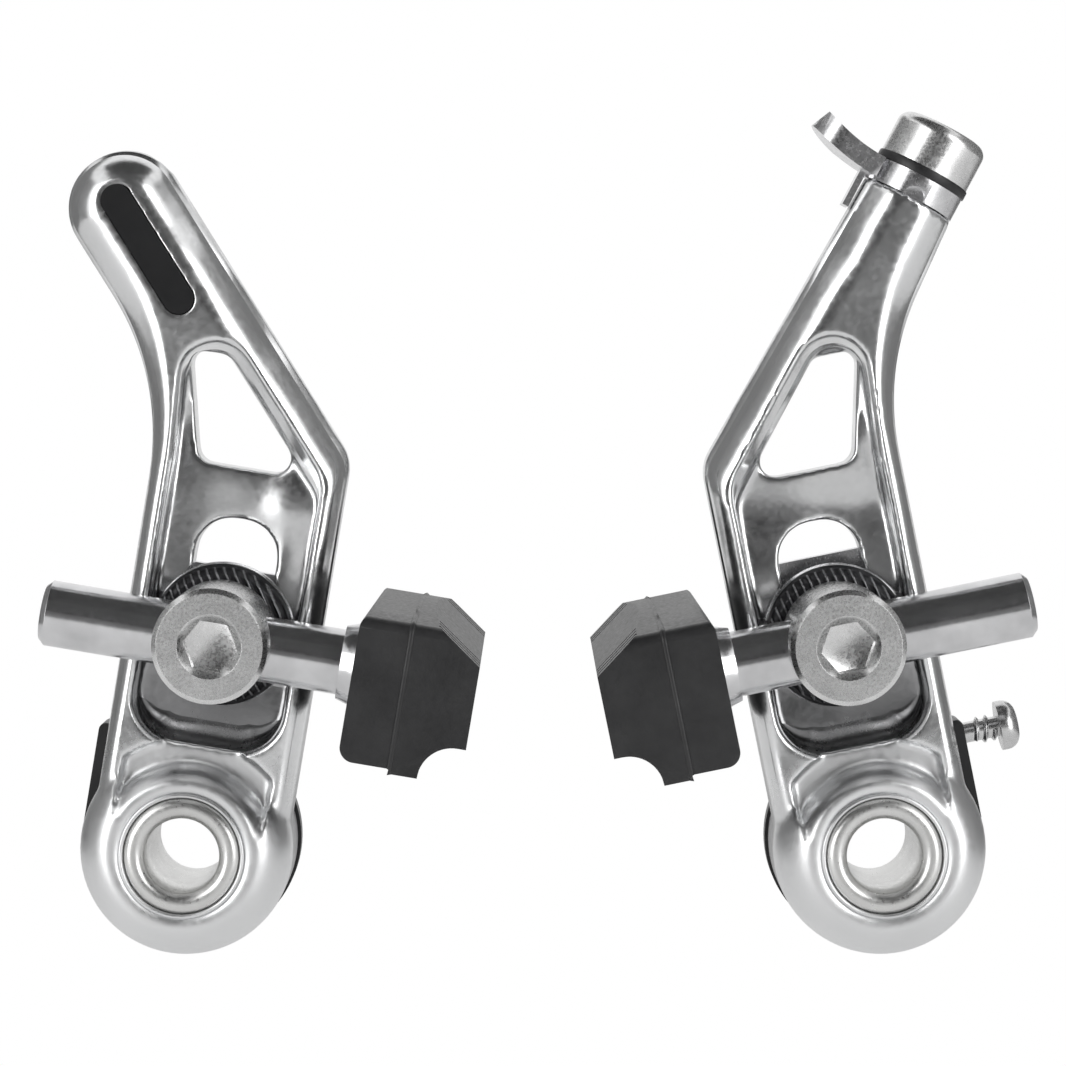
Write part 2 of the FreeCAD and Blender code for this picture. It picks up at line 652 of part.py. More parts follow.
def eye_bolt():
    """Bolt whose drum head holds the pad post in a cross hole."""
    front, edge, seat = EYE_HEAD_FRONT, EYE_EDGE, washer_front()
    bolt = turned([
        (0, front),
        (EYE_HEAD_R - edge, front),
        (EYE_HEAD_R, front - edge),
        (EYE_HEAD_R, seat + edge),
        (EYE_HEAD_R - edge, seat),
        (SHANK_R - RUNNING_CLEARANCE, seat),
        (SHANK_R - RUNNING_CLEARANCE, -SHANK_END + edge),
        (SHANK_R - edge, -SHANK_END),
        (0, -SHANK_END),
    ])
    bolt = bolt.cut(hex_socket(front, EYE_SOCKET_DEPTH))
    hole_start = Vector(-EYE_HEAD_R - 1, -POST_DEPTH, 0)
    hole = Part.makeCylinder(POST_R + RUNNING_CLEARANCE, 2 * EYE_HEAD_R + 2, hole_start, Vector(1, 0, 0))
    return at_eye(bolt.cut(hole))


def knurled_washer():
    """Coned washer with a plain rim, under the eye bolt's head."""
    front = washer_front()
    back = front - KNURLED_WASHER_THICKNESS
    return at_eye(turned([
        (SHANK_R, front),
        (KNURLED_WASHER_FRONT_R, front),
        (KNURLED_WASHER_R, back + KNURLED_WASHER_RIM),
        (KNURLED_WASHER_R, back),
        (SHANK_R, back),
    ]))


def seat_washer():
    """Washer on the channel floor, with a boss that runs in the slot."""
    front = CHANNEL_FLOOR + SEAT_WASHER_THICKNESS
    return at_eye(turned([
        (SHANK_R, front),
        (SEAT_WASHER_R - EYE_EDGE, front),
        (SEAT_WASHER_R, front - EYE_EDGE),
        (SEAT_WASHER_R, CHANNEL_FLOOR),
        (SEAT_BOSS_R, CHANNEL_FLOOR),
        (SEAT_BOSS_R, CHANNEL_FLOOR - SEAT_BOSS_LENGTH),
        (SHANK_R, CHANNEL_FLOOR - SEAT_BOSS_LENGTH),
    ]))


def rear_plate(turn):
    """Square-edged plate behind the slot."""
    half_width, half_height = REAR_PLATE_WIDTH / 2, REAR_PLATE_HEIGHT / 2
    corners = [
        Vector(-half_width, 0, -half_height),
        Vector(half_width, 0, -half_height),
        Vector(half_width, 0, half_height),
        Vector(-half_width, 0, half_height),
    ]
    plate = prism(corners, [1.0] * 4, ARM_BACK, ARM_BACK - REAR_PLATE_THICKNESS)
    plate.rotate(Vector(), Vector(0, 1, 0), turn)
    return at_eye(plate.cut(rod(SHANK_R, ARM_BACK, -1)))


def pad_nut():
    """Hexagon nut behind the rear plate."""
    front = ARM_BACK - REAR_PLATE_THICKNESS
    back = front - NUT_HEIGHT
    corner_r = NUT_FLATS / math.sqrt(3)
    lead = corner_r - NUT_FLATS / 2
    bevel = turned([(0, front), (corner_r, front), (corner_r, back + lead), (NUT_FLATS / 2, back), (0, back)])
    nut = hexagon(NUT_FLATS, front, back).common(bevel)
    return at_eye(nut.cut(rod(SHANK_R, front, back)))


def pad_post():
    """Pad post with a collar and a backing plate that is moulded into the pad."""
    def bar(radius, start, end):
        return Part.makeCylinder(radius, end - start, Vector(start, 0, 0), Vector(1, 0, 0))

    plate_start = PAD_BACK + BACKING_START
    shaft = bar(POST_R, -POST_FREE_END, plate_start)
    ends = [edge for edge in shaft.Edges if edge.BoundBox.XMax < 0]
    shaft = shaft.makeChamfer(POST_CHAMFER, ends)
    collar_start = Vector(PAD_BACK - COLLAR_LENGTH, 0, 0)
    collar = Part.makeCone(COLLAR_SMALL_R, COLLAR_R, COLLAR_LENGTH, collar_start, Vector(1, 0, 0))
    corner = Vector(plate_start, -BACKING_LENGTH / 2, -BACKING_HEIGHT / 2)
    plate = Part.makeBox(BACKING_THICKNESS, BACKING_LENGTH, BACKING_HEIGHT, corner)
    post = shaft.fuse([collar, plate])
    post.translate(Vector(0, -POST_DEPTH, EYE_HEIGHT))
    return post


def pad_sections():
    """The pad's base and its friction block as straight prisms along Y."""
    half = PAD_LENGTH / 2
    step = PAD_BACK + PAD_BASE_THICKNESS
    base = prism(
        [
            Vector(PAD_BACK, 0, PAD_BASE_BOTTOM),
            Vector(step, 0, PAD_BASE_BOTTOM),
            Vector(step, 0, PAD_BASE_TOP),
            Vector(PAD_BACK, 0, PAD_BASE_TOP),
        ],
        [PAD_BASE_R, 0, 0, PAD_BASE_R],
        half,
        -half,
    )
    face, heel = PAD_BACK + PAD_THICKNESS, PAD_BACK + PAD_HEEL
    friction = prism(
        [
            Vector(step, 0, PAD_BASE_BOTTOM - PAD_STEP),
            Vector(heel, 0, PAD_BASE_BOTTOM - PAD_STEP),
            Vector(heel, 0, PAD_FACE_BOTTOM),
            Vector(face, 0, PAD_FACE_BOTTOM),
            Vector(face, 0, PAD_FACE_TOP),
            Vector(PAD_BACK + PAD_SHELF, 0, PAD_BASE_TOP + PAD_STEP),
            Vector(step, 0, PAD_BASE_TOP + PAD_STEP),
        ],
        [0, 0, PAD_HEEL_R, 0, 0, 0, 0],
        half,
        -half,
    )
    return base, friction


def pad_side_outline():
    """Pad seen along the post: its top falls away in an arc to both ends."""
    half = PAD_LENGTH / 2
    top, bottom = PAD_BASE_TOP + PAD_STEP, PAD_BASE_BOTTOM - PAD_STEP
    low = Vector(0, -half, bottom)
    shoulder = top - PAD_NOSE_DROP
    edges = [
        Part.LineSegment(low, Vector(0, half, bottom)).toShape(),
        Part.LineSegment(Vector(0, half, bottom), Vector(0, half, shoulder)).toShape(),
        Part.Arc(Vector(0, half, shoulder), Vector(0, 0, top), Vector(0, -half, shoulder)).toShape(),
        Part.LineSegment(Vector(0, -half, shoulder), low).toShape(),
    ]
    shape = Part.Face(Part.Wire(edges)).extrude(Vector(PAD_BACK + PAD_THICKNESS, 0, 0))
    level = [edge for edge in shape.Edges if abs(edge.BoundBox.ZMax - shoulder) < 1e-6]
    uprights = [edge for edge in level if edge.BoundBox.XLength > 1]
    return shape.makeFillet(PAD_NOSE_R, uprights)


def pad_slits():
    """Narrow slits across the friction block's upper bevel, near both ends."""
    slits = []
    start = PAD_BACK + PAD_SHELF
    face = PAD_BACK + PAD_THICKNESS
    slope = math.degrees(math.atan2(PAD_BASE_TOP + PAD_STEP - PAD_FACE_TOP, PAD_THICKNESS - PAD_SHELF))
    for end in (-1, 1):
        for i in range(PAD_SLITS):
            place = end * (PAD_LENGTH / 2 - PAD_SLIT_MARGIN - i * PAD_SLIT_PITCH)
            corner = Vector(0, -PAD_SLIT_WIDTH / 2, 0)
            tool = Part.makeBox(face - start + 4, PAD_SLIT_WIDTH, 3 * PAD_NOSE_DROP, corner)
            tool.rotate(Vector(), Vector(0, 1, 0), slope)
            drop = PAD_NOSE_DROP * (2 * place / PAD_LENGTH) ** 2
            tool.translate(Vector(start, place, PAD_BASE_TOP + PAD_STEP - drop - PAD_SLIT_DEPTH))
            slits.append(tool)
    return slits


def brake_pad(post):
    """Moulded rubber pad round the post's backing plate."""
    base, friction = pad_sections()
    pad = base.fuse(friction).common(pad_side_outline()).cut(pad_slits())
    pad.translate(Vector(0, -POST_DEPTH, EYE_HEIGHT))
    return pad.cut(post)


def anchor_bolt():
    """Cable anchor bolt with a rounded socket head."""
    start = CLAMP_PLATE_THICKNESS + SEAL_RING_HEIGHT
    top = start + ANCHOR_HEAD_HEIGHT
    head = Part.makeCylinder(ANCHOR_HEAD_R, ANCHOR_HEAD_HEIGHT, Vector(0, 0, start))
    rim = [edge for edge in head.Edges if edge.BoundBox.ZMin > top - 0.01]
    head = head.makeFillet(ANCHOR_HEAD_ROUND, rim)
    shank_r = ANCHOR_SHANK_R - RUNNING_CLEARANCE
    shank_length = ANCHOR_SHANK_LENGTH - RUNNING_CLEARANCE
    shank = Part.makeCylinder(shank_r, start + shank_length, Vector(0, 0, -shank_length))
    socket = hexagon(SOCKET_FLATS, 0, -ANCHOR_SOCKET_DEPTH)
    socket.rotate(Vector(), Vector(1, 0, 0), 90)
    socket.translate(Vector(0, 0, top - socket.BoundBox.ZMax))
    return tip_frame(head.fuse(shank).cut(socket))


def seal_ring():
    """Black ring under the anchor bolt's head."""
    ring = Part.makeCylinder(SEAL_RING_R, SEAL_RING_HEIGHT, Vector(0, 0, CLAMP_PLATE_THICKNESS))
    bore = Part.makeCylinder(ANCHOR_SHANK_R, 2 * CLAMP_PLATE_THICKNESS + SEAL_RING_HEIGHT)
    return tip_frame(ring.cut(bore))


def clamp_tab():
    """Curved tab of the clamp plate, which leads the cable in."""
    half = CLAMP_TAB_WIDTH / 2
    middle = Vector(CLAMP_PLATE_R - CLAMP_TAB_OVERLAP, -half, CLAMP_TAB_CURVE_R + CLAMP_PLATE_THICKNESS)
    lower_r = CLAMP_TAB_CURVE_R + CLAMP_TAB_THICKNESS

    def at(radius, degrees):
        turn = math.radians(degrees)
        return middle + Vector(math.sin(turn), 0, -math.cos(turn)) * radius

    upper_r, sweep = CLAMP_TAB_CURVE_R, CLAMP_TAB_SWEEP
    edges = [
        Part.Arc(at(lower_r, 0), at(lower_r, sweep / 2), at(lower_r, sweep)).toShape(),
        Part.LineSegment(at(lower_r, sweep), at(upper_r, sweep)).toShape(),
        Part.Arc(at(upper_r, sweep), at(upper_r, sweep / 2), at(upper_r, 0)).toShape(),
        Part.LineSegment(at(upper_r, 0), at(lower_r, 0)).toShape(),
    ]
    tab = Part.Face(Part.Wire(edges)).extrude(Vector(0, CLAMP_TAB_WIDTH, 0))
    end = at(lower_r, sweep).x
    height = 4 * CLAMP_PLATE_THICKNESS
    plan = Part.makeBox(end - half, CLAMP_TAB_WIDTH, height, Vector(0, -half, 0))
    return tab.common(plan.fuse(Part.makeCylinder(half, height, Vector(end - half, 0, 0))))


def clamp_plate():
    """Cable clamp plate: a round plate with a curved tab, a locating lip, a notch and a cable groove."""
    thickness = CLAMP_PLATE_THICKNESS
    plate = Part.makeCylinder(CLAMP_PLATE_R, thickness)
    lip_start = ANCHOR_TIP_HALF_WIDTH + CLAMP_LIP_GAP
    lip_corner = Vector(lip_start, CLAMP_LIP_OFFSET, -CLAMP_LIP_LENGTH)
    lip = Part.makeBox(CLAMP_LIP_THICKNESS, CLAMP_LIP_WIDTH, CLAMP_LIP_LENGTH + thickness, lip_corner)
    link_corner = Vector(ANCHOR_SHANK_R, CLAMP_LIP_OFFSET, 0)
    link_length = lip_start + CLAMP_LIP_THICKNESS - ANCHOR_SHANK_R
    link = Part.makeBox(link_length, CLAMP_LIP_WIDTH, thickness, link_corner)
    plate = plate.fuse([clamp_tab(), lip, link])
    plate = plate.cut(Part.makeCylinder(ANCHOR_SHANK_R, 3 * thickness, Vector(0, 0, -thickness)))
    plate = plate.cut(Part.makeCylinder(SEAL_RING_R, SEAL_RING_HEIGHT, Vector(0, 0, thickness)))
    notch = rod(CLAMP_NOTCH_R, CLAMP_PLATE_R + 1, CLAMP_PLATE_R - CLAMP_NOTCH_LENGTH)
    groove_start = Vector(-2 * CLAMP_PLATE_R, CABLE_GROOVE_OFFSET, 0)
    groove = Part.makeCylinder(CABLE_GROOVE_R, 6 * CLAMP_PLATE_R, groove_start, Vector(1, 0, 0))
    return tip_frame(plate.cut(notch).cut(groove))


def adjusted(shape, reach, degrees):
    """Slides a pad or its post along the post's axis and turns it about that axis, front end up."""
    shape.rotate(Vector(0, -POST_DEPTH, EYE_HEIGHT), Vector(1, 0, 0), -degrees)
    shape.translate(Vector(reach, 0, 0))
    return shape


def placed(shape, side):
    """Puts a shape from the arm's own frame on the left or right boss."""
    solid = shape.copy() if side == "left" else shape.mirror(Vector(), Vector(1, 0, 0))
    sign, lean = (-1, LEFT_LEAN) if side == "left" else (1, RIGHT_LEAN)
    solid.rotate(Vector(), Vector(0, 1, 0), -sign * lean)
    solid.translate(Vector(sign * BOSS_SPACING / 2, 0, 0))
    return solid


def shared_pieces(pad_reach, pad_tilt, plate_turn):
    """Pieces that both arms have, in the arm's own frame."""
    post = pad_post()
    pad = brake_pad(post)
    return {
        "pivot_bush": pivot_bush(),
        "return_spring": return_spring(),
        "eye_bolt": eye_bolt(),
        "knurled_washer": knurled_washer(),
        "seat_washer": seat_washer(),
        "rear_plate": rear_plate(plate_turn),
        "pad_nut": pad_nut(),
        "pad_post": adjusted(post, pad_reach, pad_tilt),
        "brake_pad": adjusted(pad, pad_reach, pad_tilt),
    }


def main():
    os.makedirs("parts", exist_ok=True)
    pieces = {}
    for name, shape in shared_pieces(LEFT_PAD_REACH, LEFT_PAD_TILT, LEFT_PLATE_TURN).items():
        pieces["left_" + name] = placed(shape, "left")
    for name, shape in shared_pieces(RIGHT_PAD_REACH, RIGHT_PAD_TILT, RIGHT_PLATE_TURN).items():
        pieces["right_" + name] = placed(shape, "right")
    left_only = {"arm": left_arm(), "spring_cup": spring_cup(False), "tip_inlay": inlay()}
    for name, shape in left_only.items():
        pieces["left_" + name] = placed(shape, "left")
    right_only = {
        "arm": right_arm(),
        "spring_cup": spring_cup(True),
        "adjuster_screw": adjuster_screw(),
        "clamp_plate": clamp_plate(),
        "seal_ring": seal_ring(),
        "anchor_bolt": anchor_bolt(),
    }
    for name, shape in right_only.items():
        pieces["right_" + name] = placed(shape, "right")
    for name, shape in sorted(pieces.items()):
        print(f"{name}: {len(shape.Solids)} solid, valid {shape.isValid()}, {shape.Volume:.1f} mm3")
        shape.exportStep(f"parts/{name}.step")


main()
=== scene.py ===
"""Cantilever rim brake: looks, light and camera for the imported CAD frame.

Named lengths of the brake are in millimetres and angles in degrees. The stage and the camera's place are in
metres. An arm's own frame starts at its pivot: x runs towards the other arm, depth to the front and z up
the arm.
"""

import json
import math

import bmesh
import bpy
from mathutils import Matrix, Vector


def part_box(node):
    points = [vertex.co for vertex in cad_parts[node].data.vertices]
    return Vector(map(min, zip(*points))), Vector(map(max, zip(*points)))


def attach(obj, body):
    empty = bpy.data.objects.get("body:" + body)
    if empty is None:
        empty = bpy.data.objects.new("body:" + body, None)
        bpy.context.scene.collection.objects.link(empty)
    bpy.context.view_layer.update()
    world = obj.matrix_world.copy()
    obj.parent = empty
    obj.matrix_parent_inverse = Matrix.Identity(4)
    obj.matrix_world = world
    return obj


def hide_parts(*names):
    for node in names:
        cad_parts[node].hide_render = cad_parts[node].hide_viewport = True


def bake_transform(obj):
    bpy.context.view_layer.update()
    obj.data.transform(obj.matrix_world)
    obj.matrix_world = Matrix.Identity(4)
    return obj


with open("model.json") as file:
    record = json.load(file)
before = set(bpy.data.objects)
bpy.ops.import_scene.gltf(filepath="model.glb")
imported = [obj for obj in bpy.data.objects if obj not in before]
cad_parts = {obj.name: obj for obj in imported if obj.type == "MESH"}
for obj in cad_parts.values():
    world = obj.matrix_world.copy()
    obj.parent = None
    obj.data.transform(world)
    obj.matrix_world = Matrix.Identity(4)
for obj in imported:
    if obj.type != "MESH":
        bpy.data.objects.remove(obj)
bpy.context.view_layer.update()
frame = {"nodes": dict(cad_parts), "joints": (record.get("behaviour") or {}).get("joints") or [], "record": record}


MM = 0.001
SIDES = ("left", "right")

# Pivots and directions of the arms, from the frame's joints
JOINTS = {joint["name"]: joint for joint in frame["joints"]}
PIVOT_X = {side: JOINTS[side + "_arm_swing"]["pos_m"][0] for side in SIDES}
INWARDS = {side: Vector(JOINTS[side + "_pad_reach"]["axis"]) for side in SIDES}
UP_ARM = {side: Vector(JOINTS[side + "_pad_height"]["axis"]) for side in SIDES}
FORWARDS = Vector((0, -1, 0))
MEAN_LEAN = sum(math.atan2(abs(axis.x), axis.z) for axis in UP_ARM.values()) / len(SIDES)

# Sizes taken over from the part's source
PAD_SEAMS = {"left": 21.0, "right": 19.1}
HUB_FRONT = 17.2
BUSH_R = 6.4
BUSH_BORE_R = 4.05
WASHER_BORE_R = 3.05
CHANNEL_FLOOR = 9.6
CHANNEL_HALF_WIDTH = 8.1
CHANNEL_BOTTOM = 11.5
CHANNEL_BOTTOM_R = 5.0
SCREW_HEIGHT = 9.3
SCREW_DEPTH = 2.7
SCREW_R = 1.15


def from_arm(side, x, depth, z):
    """Point of the shared frame in metres for a point in an arm's own frame."""
    place = INWARDS[side] * x + UP_ARM[side] * z + FORWARDS * depth
    return Vector((PIVOT_X[side], 0, 0)) + place * MM


# Shader helpers. A noise is spread over its middle, because it seldom reaches 0 or 1.
NOISE_LOW = 0.3
NOISE_HIGH = 0.7


def new_material(name):
    """An empty node material with its shader and output."""
    material = bpy.data.materials.new(name)
    material.use_nodes = True
    tree = material.node_tree
    tree.nodes.clear()
    output = tree.nodes.new("ShaderNodeOutputMaterial")
    shader = tree.nodes.new("ShaderNodeBsdfPrincipled")
    tree.links.new(shader.outputs["BSDF"], output.inputs["Surface"])
    return material, tree, shader


def noise(tree, place, scale, detail=3.0):
    """Noise over the object's own coordinates, scale in waves per metre."""
    texture = tree.nodes.new("ShaderNodeTexNoise")
    texture.inputs["Scale"].default_value = scale
    texture.inputs["Detail"].default_value = detail
    tree.links.new(place.outputs["Object"], texture.inputs["Vector"])
    return texture.outputs["Fac"]


def math_node(tree, operation, first, second=None):
    """A value from one or two values or sockets."""
    node = tree.nodes.new("ShaderNodeMath")
    node.operation = operation
    for socket, value in zip(node.inputs, (first, second)):
        if isinstance(value, bpy.types.NodeSocket):
            tree.links.new(value, socket)
        elif value is not None:
            socket.default_value = value
    return node.outputs["Value"]


def ramped(tree, value, start, end, low=0.0, high=1.0):
    """A value that runs from low to high as another runs from start to end."""
    spread = tree.nodes.new("ShaderNodeMapRange")
    spread.inputs["From Min"].default_value = start
    spread.inputs["From Max"].default_value = end
    spread.inputs["To Min"].default_value = low
    spread.inputs["To Max"].default_value = high
    tree.links.new(value, spread.inputs["Value"])
    return spread.outputs["Result"]


def between(tree, factor, low, high):
    """A value that runs from low to high over the middle of a noise."""
    return ramped(tree, factor, NOISE_LOW, NOISE_HIGH, low, high)


def tint(tree, factor, dark, light):
    """A colour that runs from dark to light over the middle of a noise."""
    ramp = tree.nodes.new("ShaderNodeValToRGB")
    ends = ((NOISE_LOW, dark), (NOISE_HIGH, light))
    for element, (position, colour) in zip(ramp.color_ramp.elements, ends):
        element.position = position
        element.color = (*colour, 1)
    tree.links.new(factor, ramp.inputs["Fac"])
    return ramp.outputs["Color"]


def relief(tree, shader, layers):
    """Bump from (height, depth in millimetres, strength) layers, one over the other."""
    normal = None
    for height, depth, strength in layers:
        bump = tree.nodes.new("ShaderNodeBump")
        bump.inputs["Distance"].default_value = depth * MM
        bump.inputs["Strength"].default_value = strength
        tree.links.new(height, bump.inputs["Height"])
        if normal:
            tree.links.new(normal, bump.inputs["Normal"])
        normal = bump.outputs["Normal"]
    tree.links.new(normal, shader.inputs["Normal"])


# Plain materials: a slow mottle and a fine grain
MOTTLE_DEPTH = 0.1
MOTTLE_STRENGTH = 0.12
GRAIN_STRENGTH = 0.3
GRAIN_DETAIL = 4.0


def surface(name, dark, light, metallic, roughness, mottle, grain, grain_depth):
    """A material whose colour varies over its mottle and roughness over its grain, in waves per metre."""
    material, tree, shader = new_material(name)
    place = tree.nodes.new("ShaderNodeTexCoord")
    cloud = noise(tree, place, mottle)
    fine = noise(tree, place, grain, GRAIN_DETAIL)
    tree.links.new(tint(tree, cloud, dark, light), shader.inputs["Base Color"])
    tree.links.new(between(tree, fine, *roughness), shader.inputs["Roughness"])
    shader.inputs["Metallic"].default_value = metallic
    relief(tree, shader, [(cloud, MOTTLE_DEPTH, MOTTLE_STRENGTH), (fine, grain_depth, GRAIN_STRENGTH)])
    return material


# Polished forging: its colours, and the layers of its relief with scales in waves per metre
POLISH_DARK = (0.77, 0.775, 0.78)
POLISH_LIGHT = (0.84, 0.845, 0.85)
POLISH_ROUGHNESS = (0.16, 0.27)
WAVES = {"scale": 80, "detail": 1.0, "depth": 1.0, "strength": 0.9}
DENTS = {"scale": 120, "detail": 0.0, "depth": 1.6, "strength": 1.0}
SPECKLE = {"scale": 1500, "detail": 4.0, "depth": 0.014, "strength": 0.4}

# Where its looks change: depths in the channel, heights up the arm and radii of the hub
CHANNEL_LOOK_FROM = 11.5
CHANNEL_LOOK_FULL = 10.2
DENTS_FROM = 19
DENTS_FULL = 27
# Painted shade and dark reflection: the channel floor's colour darkens towards its lower end
POCKET_FROM = 17
POCKET_TO = 25
POCKET_SHADE_AMOUNT = (0.85, 0.25)
POCKET_SHADE_COLOUR = (0.2, 0.2, 0.205)
SATIN_FROM = 10.5
SATIN_TO = 15
SATIN_ROUGHNESS = 0.16


def places_on_arm(tree, place):
    """Distance from the nearer arm's pivot axis, height up that arm and place in Y, as sockets in metres."""
    parts = tree.nodes.new("ShaderNodeSeparateXYZ")
    tree.links.new(place.outputs["Object"], parts.inputs["Vector"])
    across = math_node(tree, "SUBTRACT", math_node(tree, "ABSOLUTE", parts.outputs["X"]), PIVOT_X["right"])
    up = parts.outputs["Z"]
    across_squared = math_node(tree, "MULTIPLY", across, across)
    up_squared = math_node(tree, "MULTIPLY", up, up)
    from_pivot = math_node(tree, "SQRT", math_node(tree, "ADD", across_squared, up_squared))
    sideways = math_node(tree, "MULTIPLY", across, math.sin(MEAN_LEAN))
    up_arm = math_node(tree, "SUBTRACT", math_node(tree, "MULTIPLY", up, math.cos(MEAN_LEAN)), sideways)
    return from_pivot, up_arm, parts.outputs["Y"]


def polished_alloy():
    """Hand-polished forging: slow waves, a dented channel floor with painted shade at its lower end, fine speckle
    and a satin hub.
    """
    material, tree, shader = new_material("polished forging")
    place = tree.nodes.new("ShaderNodeTexCoord")
    from_pivot, up_arm, y = places_on_arm(tree, place)
    on_floor = ramped(tree, y, -CHANNEL_LOOK_FROM * MM, -CHANNEL_LOOK_FULL * MM)
    layers = (WAVES, DENTS, SPECKLE)
    waves, dents, speckle = (noise(tree, place, layer["scale"], layer["detail"]) for layer in layers)
    dented = math_node(tree, "MULTIPLY", ramped(tree, up_arm, DENTS_FROM * MM, DENTS_FULL * MM), on_floor)
    heights = (waves, math_node(tree, "MULTIPLY", dents, dented), speckle)
    bumps = [(height, layer["depth"], layer["strength"]) for height, layer in zip(heights, layers)]
    relief(tree, shader, bumps)

    satin = ramped(tree, from_pivot, SATIN_FROM * MM, SATIN_TO * MM, SATIN_ROUGHNESS, 0.0)
    polish = between(tree, speckle, *POLISH_ROUGHNESS)
    tree.links.new(math_node(tree, "ADD", polish, satin), shader.inputs["Roughness"])

    # Painted shade and dark reflection: the channel floor's colour turns darker towards its lower end
    shade_down_channel = ramped(tree, up_arm, POCKET_FROM * MM, POCKET_TO * MM, *POCKET_SHADE_AMOUNT)
    painted_shade = tree.nodes.new("ShaderNodeMix")
    painted_shade.data_type = "RGBA"
    tree.links.new(math_node(tree, "MULTIPLY", shade_down_channel, on_floor), painted_shade.inputs["Factor"])
    tree.links.new(tint(tree, waves, POLISH_DARK, POLISH_LIGHT), painted_shade.inputs["A"])
    painted_shade.inputs["B"].default_value = (*POCKET_SHADE_COLOUR, 1)
    tree.links.new(painted_shade.outputs["Result"], shader.inputs["Base Color"])
    shader.inputs["Metallic"].default_value = 1.0
    return material


MATERIALS = {
    "forged_alloy": polished_alloy(),
    "pad_rubber": surface(
        "pad rubber",
        dark=(0.017, 0.017, 0.018),
        light=(0.03, 0.03, 0.031),
        metallic=0.0,
        roughness=(0.36, 0.5),
        mottle=260,
        grain=2400,
        grain_depth=0.03,
    ),
    "bush_steel": surface(
        "bush steel",
        dark=(0.68, 0.68, 0.67),
        light=(0.78, 0.78, 0.77),
        metallic=1.0,
        roughness=(0.26, 0.4),
        mottle=300,
        grain=2600,
        grain_depth=0.014,
    ),
    "spring_steel": surface(
        "spring steel",
        dark=(0.3, 0.3, 0.31),
        light=(0.42, 0.42, 0.43),
        metallic=1.0,
        roughness=(0.25, 0.4),
        mottle=300,
        grain=2600,
        grain_depth=0.01,
    ),
    "plated_bolt": surface(
        "plated bolt",
        dark=(0.72, 0.72, 0.72),
        light=(0.84, 0.84, 0.84),
        metallic=1.0,
        roughness=(0.2, 0.36),
        mottle=500,
        grain=3400,
        grain_depth=0.006,
    ),
    "plated_sheet": surface(
        "plated sheet",
        dark=(0.62, 0.62, 0.63),
        light=(0.76, 0.76, 0.77),
        metallic=1.0,
        roughness=(0.18, 0.3),
        mottle=420,
        grain=2800,
        grain_depth=0.006,
    ),
    "plated_post": surface(
        "bright plated post",
        dark=(0.6, 0.6, 0.61),
        light=(0.74, 0.74, 0.75),
        metallic=1.0,
        roughness=(0.13, 0.24),
        mottle=300,
        grain=2400,
        grain_depth=0.01,
    ),
    "plated_nut": surface(
        "plated nut",
        dark=(0.6, 0.6, 0.6),
        light=(0.74, 0.74, 0.74),
        metallic=1.0,
        roughness=(0.2, 0.32),
        mottle=420,
        grain=3000,
        grain_depth=0.006,
    ),
    "dark_steel": surface(
        "black oxide steel",
        dark=(0.02, 0.02, 0.022),
        light=(0.045, 0.045, 0.048),
        metallic=0.6,
        roughness=(0.28, 0.42),
        mottle=400,
        grain=3000,
        grain_depth=0.01,
    ),
    "worn_ridge": surface(
        "worn knurl",
        dark=(0.16, 0.16, 0.165),
        light=(0.3, 0.3, 0.31),
        metallic=0.9,
        roughness=(0.25, 0.4),
        mottle=500,
        grain=3000,
        grain_depth=0.01,
    ),
    "black_plastic": surface(
        "black plastic",
        dark=(0.01, 0.01, 0.011),
        light=(0.02, 0.02, 0.021),
        metallic=0.0,
        roughness=(0.32, 0.45),
        mottle=300,
        grain=2600,
        grain_depth=0.015,
    ),
    "inlay_black": surface(
        "inlay enamel",
        dark=(0.009, 0.009, 0.01),
        light=(0.014, 0.014, 0.015),
        metallic=0.0,
        roughness=(0.3, 0.34),
        mottle=300,
        grain=2600,
        grain_depth=0.001,
    ),
}


def dress(obj, slot_name):
    """Gives a piece one material."""
    obj.data.materials.clear()
    obj.data.materials.append(MATERIALS[slot_name])


# Finish of the CAD pieces
WELD_DISTANCE = 0.001
FORGING_VOXEL = 0.29
FORGING_SMOOTHING = 0.5
FORGING_ROUNDS = 12
EDGE_SEGMENTS = 3
EDGE_ANGLE = 35
CRISP_ANGLE = 12
INLAY_RISE = 0.13
EDGE_WIDTHS = {
    "eye_bolt": 0.14,
    "pad_nut": 0.15,
    "rear_plate": 0.15,
    "clamp_plate": 0.2,
    "anchor_bolt": 0.12,
    "brake_pad": 1.0,
    "spring_cup": 0.15,
    "seal_ring": 0.12,
    "adjuster_screw": 0.06,
    "pad_post": 0.15,
}


def weld(obj):
    """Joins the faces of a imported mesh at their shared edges."""
    modifier = obj.modifiers.new("weld", "WELD")
    modifier.merge_threshold = WELD_DISTANCE * MM


def soften_forging(obj):
    """Evens out the forging's facets and rounds its inner edges a little."""
    weld(obj)
    remesh = obj.modifiers.new("remesh", "REMESH")
    remesh.mode = "VOXEL"
    remesh.voxel_size = FORGING_VOXEL * MM
    remesh.use_smooth_shade = True
    smooth = obj.modifiers.new("smooth", "SMOOTH")
    smooth.factor = FORGING_SMOOTHING
    smooth.iterations = FORGING_ROUNDS


def break_edges(obj, width):
    """Small bevel on a turned, stamped or moulded piece's sharp edges."""
    weld(obj)
    bevel = obj.modifiers.new("bevel", "BEVEL")
    bevel.width = width * MM
    bevel.segments = EDGE_SEGMENTS
    bevel.limit_method = "ANGLE"
    bevel.angle_limit = math.radians(EDGE_ANGLE)
    for polygon in obj.data.polygons:
        polygon.use_smooth = True
    obj.modifiers.new("even", "WEIGHTED_NORMAL")


def keep_crisp(obj):
    """Shades a piece's faces and bevels apart from each other, so that its edges show as thin lines."""
    split = obj.modifiers.new("crisp", "EDGE_SPLIT")
    split.split_angle = math.radians(CRISP_ANGLE)


